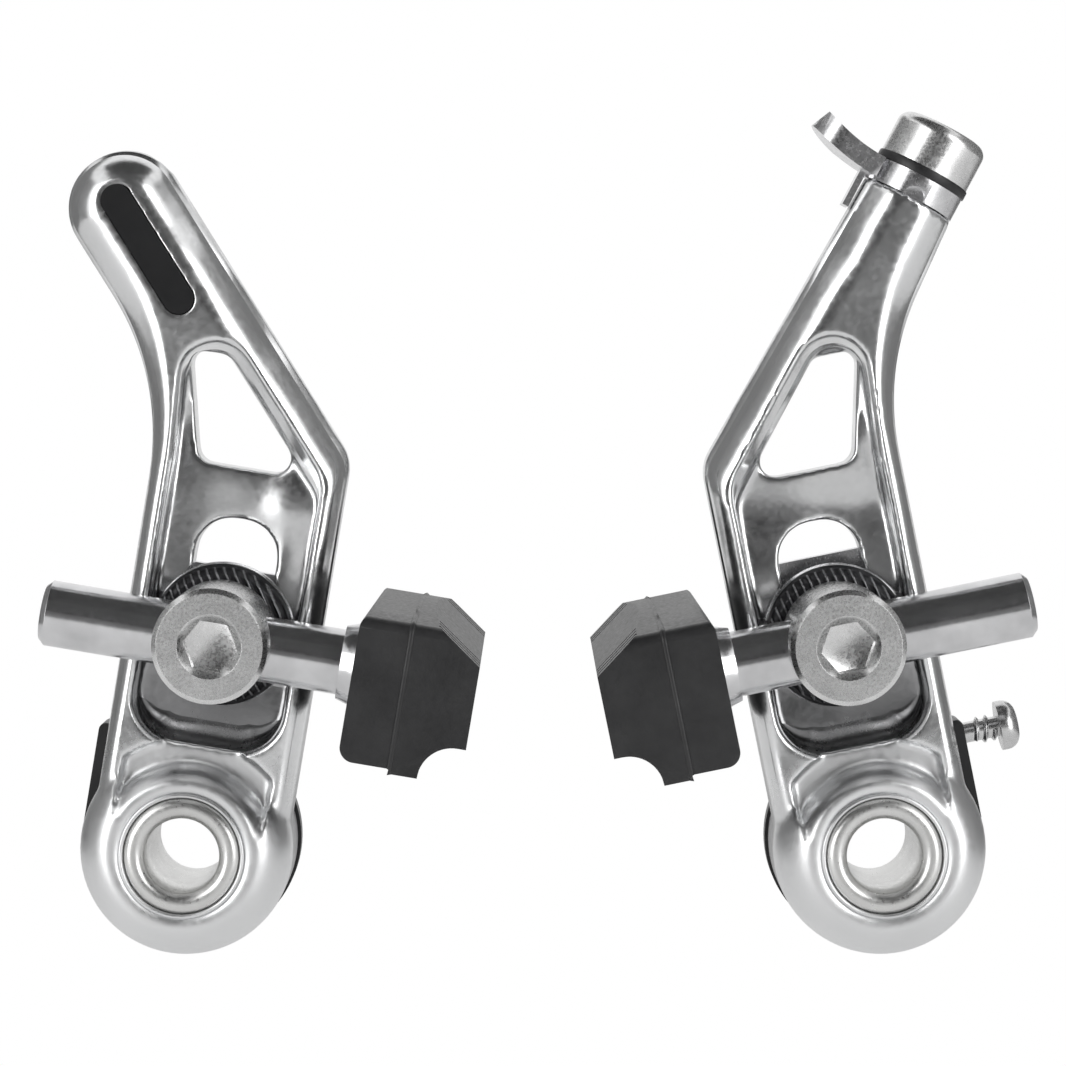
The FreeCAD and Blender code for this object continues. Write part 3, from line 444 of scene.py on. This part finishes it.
def raise_inlay(obj):
    """Lifts the tip's inlay clear of the softened forging."""
    raised = obj.modifiers.new("raised", "DISPLACE")
    raised.mid_level = 0.0
    raised.strength = INLAY_RISE * MM


# Pieces that the scene adds
def new_piece(name, points, faces, slot_name, body):
    """A mesh of its own that rides on a CAD body, smooth and facing outwards."""
    mesh = bpy.data.meshes.new(name)
    mesh.from_pydata(points, [], faces)
    shape = bmesh.new()
    shape.from_mesh(mesh)
    bmesh.ops.recalc_face_normals(shape, faces=shape.faces)
    shape.to_mesh(mesh)
    shape.free()
    mesh.shade_smooth()
    obj = bpy.data.objects.new(name, mesh)
    bpy.context.scene.collection.objects.link(obj)
    dress(obj, slot_name)
    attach(obj, body)
    return obj


def loop_faces(loops, count, endless):
    """Faces over closed loops of count points: an endless row of loops joins up, another is capped."""
    faces = []
    for i in range(loops if endless else loops - 1):
        here = i * count
        there = (i + 1) % loops * count
        for k in range(count):
            after = (k + 1) % count
            faces.append((here + k, here + after, there + after, there + k))
    if not endless:
        faces.append(tuple(range(count)))
        faces.append(tuple(range((loops - 1) * count, loops * count)))
    return faces


def share(value):
    """A value held between 0 and 1."""
    return min(1.0, max(0.0, value))


KNURL_PITCH = 0.9
KNURL_RIDGE = 0.2
KNURL_FLANK = 0.12
KNURL_DEPTH = 0.3
KNURL_DIRECTION = 113
KNURL_FACING = 0.2
WASHER_CONE = 1.0
WASHER_EDGE = 0.7
WASHER_PLAIN_RIM = 0.3
WASHER_RIM_FADE = 0.1
WASHER_RINGS = 46
WASHER_STEPS = 640


def from_ridge(radius, angle):
    """Distance from the middle of the nearest knurl ridge."""
    across = radius * math.sin(math.radians(KNURL_DIRECTION) - angle)
    return abs((across / KNURL_PITCH) % 1 - 0.5) * KNURL_PITCH


def knurled_washer(side):
    """The dark washer with its knurl: straight ridges left standing, the rest cut away between them."""
    node = side + "_knurled_washer"
    low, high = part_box(node)
    middle = (low + high) / 2
    outer = (high.x - low.x) / 2 / MM
    front = low.y / MM
    back = high.y / MM

    def front_face(radius, angle):
        cone = max(0.0, radius - (outer - WASHER_CONE)) / WASHER_CONE
        base = front + cone * (back - WASHER_EDGE - front)
        cut = share((from_ridge(radius, angle) - KNURL_RIDGE / 2) / KNURL_FLANK)
        fade = share((outer - WASHER_PLAIN_RIM - radius) / WASHER_RIM_FADE)
        return base + KNURL_DEPTH * cut * fade

    radii = [WASHER_BORE_R + (outer - WASHER_BORE_R) * i / WASHER_RINGS for i in range(WASHER_RINGS + 1)]
    rings = [(radius, True) for radius in radii] + [(outer, False), (WASHER_BORE_R, False)]
    points = []
    for radius, knurled in rings:
        for i in range(WASHER_STEPS):
            angle = 2 * math.pi * i / WASHER_STEPS
            x = radius * math.cos(angle) * MM + middle.x
            y = (front_face(radius, angle) if knurled else back) * MM
            z = radius * math.sin(angle) * MM + middle.z
            points.append((x, y, z))
    faces = loop_faces(len(rings), WASHER_STEPS, endless=True)
    obj = new_piece(node + "_knurl", points, faces, "dark_steel", side + "_clamp")
    obj.data.materials.append(MATERIALS["worn_ridge"])
    for polygon in obj.data.polygons:
        spot = (polygon.center - middle) / MM
        radius = math.hypot(spot.x, spot.z)
        on_front = polygon.normal.dot(FORWARDS) > KNURL_FACING and radius < outer - WASHER_PLAIN_RIM
        if on_front and from_ridge(radius, math.atan2(spot.z, spot.x)) < KNURL_RIDGE / 2:
            polygon.material_index = 1
    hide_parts(node)


PIVOT_STEPS = 160
SEAM_R = 0.24
SEAM_OUTSIDE_BUSH = 0.15
SEAM_BEHIND_HUB = 0.18
SEAM_STEPS = 16
BUSH_ROLL = 0.75
BUSH_ROLL_POWER = 2.4
BUSH_ROLL_STEPS = 24


def ring_about_pivot(name, side, profile, slot_name, body):
    """A closed (radius, depth) profile, turned about an arm's pivot."""
    points = []
    for i in range(PIVOT_STEPS):
        turn = 2 * math.pi * i / PIVOT_STEPS
        for radius, depth in profile:
            points.append(tuple(from_arm(side, radius * math.cos(turn), depth, radius * math.sin(turn))))
    faces = loop_faces(PIVOT_STEPS, len(profile), endless=True)
    return new_piece(name, points, faces, slot_name, body)


def bush_seam(side):
    """Rolled edge of the hub round the pivot bush."""
    profile = []
    for k in range(SEAM_STEPS):
        roll = 2 * math.pi * k / SEAM_STEPS
        radius = BUSH_R + SEAM_OUTSIDE_BUSH + SEAM_R * math.cos(roll)
        profile.append((radius, HUB_FRONT - SEAM_BEHIND_HUB + SEAM_R * math.sin(roll)))
    ring_about_pivot(side + "_bush_seam", side, profile, "forged_alloy", side + "_arm")


def rolled_bush(side):
    """The pivot bush with its front rolled over towards the bore and the hub."""
    node = side + "_pivot_bush"
    low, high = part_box(node)
    front = -low.y / MM
    back = -high.y / MM
    profile = [(BUSH_BORE_R, back), (BUSH_R, back)]
    for k in range(BUSH_ROLL_STEPS + 1):
        outwards = 1 - k / BUSH_ROLL_STEPS
        fall = BUSH_ROLL * abs(2 * outwards - 1) ** BUSH_ROLL_POWER
        profile.append((BUSH_BORE_R + (BUSH_R - BUSH_BORE_R) * outwards, front - fall))
    obj = ring_about_pivot(node + "_rolled", side, profile, "bush_steel", "frame_mounts")
    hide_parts(node)


RIB_WIDTH = 0.7
RIB_HEIGHT = 0.22
RIB_SUNK_EDGE = 0.04
RIB_THICKNESS = 0.1
RIB_CREST_REACH = 0.05
RIB_MERGE = 0.01
CUT_TOLERANCE = 0.0001


def pad_rib(side):
    """Moulding rib round a pad, where its base meets the friction block: a band of the pad, raised."""
    along = INWARDS[side]
    seam = from_arm(side, PAD_SEAMS[side], 0, 0)
    pad = frame["nodes"][side + "_brake_pad"]
    mesh = bpy.data.meshes.new_from_object(pad.evaluated_get(bpy.context.evaluated_depsgraph_get()))
    shape = bmesh.new()
    shape.from_mesh(mesh)
    bpy.data.meshes.remove(mesh)
    for shift in (-RIB_WIDTH / 2, 0, RIB_WIDTH / 2):
        bmesh.ops.bisect_plane(
            shape,
            geom=[*shape.verts, *shape.edges, *shape.faces],
            dist=CUT_TOLERANCE * MM,
            plane_co=seam + along * (shift * MM),
            plane_no=along,
            clear_inner=shift < 0,
            clear_outer=shift > 0,
        )
    bmesh.ops.remove_doubles(shape, verts=shape.verts, dist=RIB_MERGE * MM)
    shape.normal_update()
    moves = []
    for vertex in shape.verts:
        on_crest = abs((vertex.co - seam).dot(along)) < RIB_CREST_REACH * MM
        moves.append(vertex.normal * ((RIB_HEIGHT if on_crest else -RIB_SUNK_EDGE) * MM))
    for vertex, move in zip(shape.verts, moves):
        vertex.co += move
    bmesh.ops.solidify(shape, geom=shape.faces[:], thickness=RIB_THICKNESS * MM)
    shape.verts.index_update()
    points = [tuple(vertex.co) for vertex in shape.verts]
    faces = [[vertex.index for vertex in face.verts] for face in shape.faces]
    shape.free()
    new_piece(side + "_pad_rib", points, faces, "pad_rubber", side + "_pad")


SCOOP_R = 2.5
SCOOP_THINNEST = 0.1
SCOOP_FULL_AFTER = 16
SCOOP_STEPS = 24
SCOOP_ROUND_STEPS = 10
SCOOP_ROOT = 0.25
SCOOP_SHARP_ANGLE = 40


def channel_scoop(side):
    """Hollowed corner between the channel's floor and its lower end, fading out up the walls."""
    corner_x = CHANNEL_HALF_WIDTH - CHANNEL_BOTTOM_R
    corner_z = CHANNEL_BOTTOM + CHANNEL_BOTTOM_R
    corner = []
    for i in range(SCOOP_STEPS + 1):
        turn = -math.pi / 2 * i / SCOOP_STEPS
        fullness = SCOOP_THINNEST + (1 - SCOOP_THINNEST) * share(i / SCOOP_FULL_AFTER)
        corner.append((math.cos(turn), math.sin(turn), SCOOP_R * fullness))
    path = [(1, *spot) for spot in corner] + [(-1, *spot) for spot in reversed(corner)]
    points = []
    for sign, out_x, out_z, radius in path:
        section = [(-SCOOP_ROOT, radius), (-SCOOP_ROOT, -SCOOP_ROOT), (radius, -SCOOP_ROOT)]
        for k in range(SCOOP_ROUND_STEPS + 1):
            roll = math.pi / 2 * k / SCOOP_ROUND_STEPS
            section.append((radius * (1 - math.sin(roll)), radius * (1 - math.cos(roll))))
        for inwards, rise in section:
            reach = CHANNEL_BOTTOM_R - inwards
            x = sign * (corner_x + out_x * reach)
            z = corner_z + out_z * reach
            points.append(tuple(from_arm(side, x, CHANNEL_FLOOR + rise, z)))
    faces = loop_faces(len(path), len(points) // len(path), endless=False)
    obj = new_piece(side + "_channel_scoop", points, faces, "forged_alloy", side + "_arm")
    obj.data.set_sharp_from_angle(angle=math.radians(SCOOP_SHARP_ANGLE))


def wound_spring(side):
    """The return spring: a copy of the CAD piece in spring steel, fixed in the shared frame."""
    node = side + "_return_spring"
    obj = bpy.data.objects.new(node + "_wound", frame["nodes"][node].data.copy())
    bpy.context.scene.collection.objects.link(obj)
    dress(obj, "spring_steel")
    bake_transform(obj)
    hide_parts(node)


THREAD_PITCH = 1.05
THREAD_R = 1.5
THREAD_SPAN = (13.15, 16.1)
THREAD_HALF_FOOT = 0.35
THREAD_HALF_CREST = 0.06
THREAD_SUNK = 0.1
THREAD_RUN_OUT = 0.05
THREAD_STEPS = 160


def screw_thread():
    """Coarse thread on the part of the tension screw that shows."""
    start, end = THREAD_SPAN
    foot = SCREW_R - THREAD_SUNK
    points = []
    for i in range(THREAD_STEPS + 1):
        middle = start + THREAD_HALF_FOOT + (end - start - 2 * THREAD_HALF_FOOT) * i / THREAD_STEPS
        angle = 2 * math.pi * middle / THREAD_PITCH
        crest = THREAD_R if 0 < i < THREAD_STEPS else foot + THREAD_RUN_OUT
        section = (
            (-THREAD_HALF_FOOT, foot),
            (-THREAD_HALF_CREST, crest),
            (THREAD_HALF_CREST, crest),
            (THREAD_HALF_FOOT, foot),
        )
        for shift, radius in section:
            depth = SCREW_DEPTH + radius * math.cos(angle)
            z = SCREW_HEIGHT + radius * math.sin(angle)
            points.append(tuple(from_arm("right", -(middle + shift), depth, z)))
    faces = loop_faces(THREAD_STEPS + 1, len(section), endless=False)
    new_piece("right_screw_thread", points, faces, "plated_nut", "right_adjuster")


for part in frame["record"]["subparts"]:
    node = frame["nodes"][part["node"]]
    piece_name = part["node"].split("_", 1)[1]
    dress(node, part["material_slot"])
    if piece_name == "arm":
        soften_forging(node)
    elif piece_name in EDGE_WIDTHS:
        break_edges(node, EDGE_WIDTHS[piece_name])
    if piece_name == "eye_bolt":
        keep_crisp(node)
    elif piece_name == "tip_inlay":
        raise_inlay(node)

for side in SIDES:
    knurled_washer(side)
    bush_seam(side)
    rolled_bush(side)
    pad_rib(side)
    wound_spring(side)
    channel_scoop(side)
screw_thread()

# Camera, worked out from the perspective of the photo's bores and posts, with its lens in millimetres
CAMERA_TARGET = Vector((0.0, -0.0145, 0.0346))
CAMERA_DISTANCE = 0.360
CAMERA_ELEVATION = 3.5
CAMERA_LENS = 113.2
CAMERA_SENSOR = 36

# Stage, with mottles in waves per metre
CARD_MOTTLE = 6
CARD_VARIATION = 0.1
CARD_ROUGHNESS = 0.9
FLOOR_Z = -0.09
FLOOR_REACH = 2.0
FLOOR_MOTTLE = 8
FLOOR_DARK = (0.84, 0.84, 0.84)
FLOOR_LIGHT = (0.88, 0.88, 0.88)
FLOOR_ROUGHNESS = 0.8
FLOOR_PLAIN_WITHIN = 0.1
FLOOR_WHITE_BEYOND = 0.22
FLOOR_MIRRORED = 0.5
WORLD_FILL = 0.75


def stage_sheet(name, width, height, z=0.0):
    """A flat rectangle about the origin at a level z, with a material of its name."""
    x = width / 2
    y = height / 2
    mesh = bpy.data.meshes.new(name)
    mesh.from_pydata([(-x, -y, z), (x, -y, z), (x, y, z), (-x, y, z)], [], [(0, 1, 2, 3)])
    obj = bpy.data.objects.new(name, mesh)
    bpy.context.scene.collection.objects.link(obj)
    material, tree, shader = new_material(name)
    mesh.materials.append(material)
    return obj, tree, shader


def card(name, centre, size, shade, upright=False):
    """A plain card for the metal to mirror, facing the object or standing upright."""
    obj, tree, shader = stage_sheet(name, *size)
    towards = CAMERA_TARGET - Vector(centre)
    if upright:
        towards.z = 0
    obj.matrix_world = Matrix.LocRotScale(Vector(centre), towards.to_track_quat("Z", "Y"), None)
    place = tree.nodes.new("ShaderNodeTexCoord")
    dark = (shade * (1 - CARD_VARIATION),) * 3
    light = (shade * (1 + CARD_VARIATION),) * 3
    tree.links.new(tint(tree, noise(tree, place, CARD_MOTTLE), dark, light), shader.inputs["Base Color"])
    shader.inputs["Roughness"].default_value = CARD_ROUGHNESS
    obj.visible_camera = False


def mixed(tree, factor, first, second):
    """One shader turning into another with a factor."""
    mix = tree.nodes.new("ShaderNodeMixShader")
    tree.links.new(factor, mix.inputs["Fac"])
    tree.links.new(first, mix.inputs[1])
    tree.links.new(second, mix.inputs[2])
    return mix.outputs["Shader"]


def pale_floor():
    """Floor below the mount: white further off, plain and shadowed under the brake, clear from below."""
    obj, tree, shader = stage_sheet("floor", 2 * FLOOR_REACH, 2 * FLOOR_REACH, FLOOR_Z)
    place = tree.nodes.new("ShaderNodeTexCoord")
    mottle = tint(tree, noise(tree, place, FLOOR_MOTTLE), FLOOR_DARK, FLOOR_LIGHT)
    tree.links.new(mottle, shader.inputs["Base Color"])
    shader.inputs["Roughness"].default_value = FLOOR_ROUGHNESS
    length = tree.nodes.new("ShaderNodeVectorMath")
    length.operation = "LENGTH"
    tree.links.new(place.outputs["Object"], length.inputs[0])
    far = ramped(tree, length.outputs["Value"], FLOOR_PLAIN_WITHIN, FLOOR_WHITE_BEYOND)
    path = tree.nodes.new("ShaderNodeLightPath")
    seen = math_node(tree, "MULTIPLY", path.outputs["Is Camera Ray"], far)
    mirrored = math_node(tree, "MULTIPLY", path.outputs["Is Glossy Ray"], FLOOR_MIRRORED)
    white = tree.nodes.new("ShaderNodeEmission").outputs["Emission"]
    clear = tree.nodes.new("ShaderNodeBsdfTransparent").outputs["BSDF"]
    from_below = tree.nodes.new("ShaderNodeNewGeometry").outputs["Backfacing"]
    whiter = mixed(tree, math_node(tree, "MAXIMUM", seen, mirrored), shader.outputs["BSDF"], white)
    one_sided = mixed(tree, from_below, whiter, clear)
    tree.links.new(one_sided, tree.nodes["Material Output"].inputs["Surface"])


def area_light(name, location, size, power):
    """Soft light aimed at the object."""
    light = bpy.data.lights.new(name, "AREA")
    light.shape = "RECTANGLE"
    light.size, light.size_y = size
    light.energy = power
    obj = bpy.data.objects.new(name, light)
    bpy.context.scene.collection.objects.link(obj)
    obj.location = location
    obj.rotation_euler = (CAMERA_TARGET - Vector(location)).to_track_quat("-Z", "Y").to_euler()


def white_world():
    """White where it is seen or mirrored, a plain fill elsewhere."""
    world = bpy.data.worlds.new("studio")
    bpy.context.scene.world = world
    world.use_nodes = True
    tree = world.node_tree
    background = tree.nodes["Background"]
    background.inputs["Color"].default_value = (1, 1, 1, 1)
    path = tree.nodes.new("ShaderNodeLightPath").outputs
    seen = math_node(tree, "MAXIMUM", path["Is Camera Ray"], path["Is Glossy Ray"])
    tree.links.new(ramped(tree, seen, 0.0, 1.0, WORLD_FILL, 1.0), background.inputs["Strength"])


white_world()
pale_floor()
card("card_front", centre=(0.0, -1.0, 0.5), size=(1.15, 1.18), shade=0.33, upright=True)
card("card_camera", centre=(0.0, -0.9, 0.03), size=(0.5, 0.22), shade=0.3)
card("card_above_front", centre=(0.0, -0.72, 0.5), size=(1.0, 0.75), shade=0.1)
card("card_above", centre=(0.0, -0.08, 0.78), size=(1.0, 0.8), shade=0.08)
for side, sign in zip(SIDES, (-1, 1)):
    card("card_side_" + side, centre=(sign * 0.62, 0.02, 0.1), size=(0.6, 0.9), shade=0.45)
    card("card_back_" + side, centre=(sign * 0.42, 0.35, 0.1), size=(0.5, 0.8), shade=0.35)
    area_light(side + "_light", location=(sign * 0.52, -0.58, 0.12), size=(0.36, 0.8), power=2.4)

elevation = math.radians(CAMERA_ELEVATION)
camera = bpy.data.objects.new("camera", bpy.data.cameras.new("camera"))
bpy.context.scene.collection.objects.link(camera)
camera.data.sensor_width = CAMERA_SENSOR
camera.data.lens = CAMERA_LENS
camera.location = CAMERA_TARGET + Vector((0, -math.cos(elevation), math.sin(elevation))) * CAMERA_DISTANCE
camera.rotation_euler = (CAMERA_TARGET - camera.location).to_track_quat("-Z", "Y").to_euler()
bpy.context.scene.camera = camera
bpy.context.scene.view_settings.view_transform = "Standard"
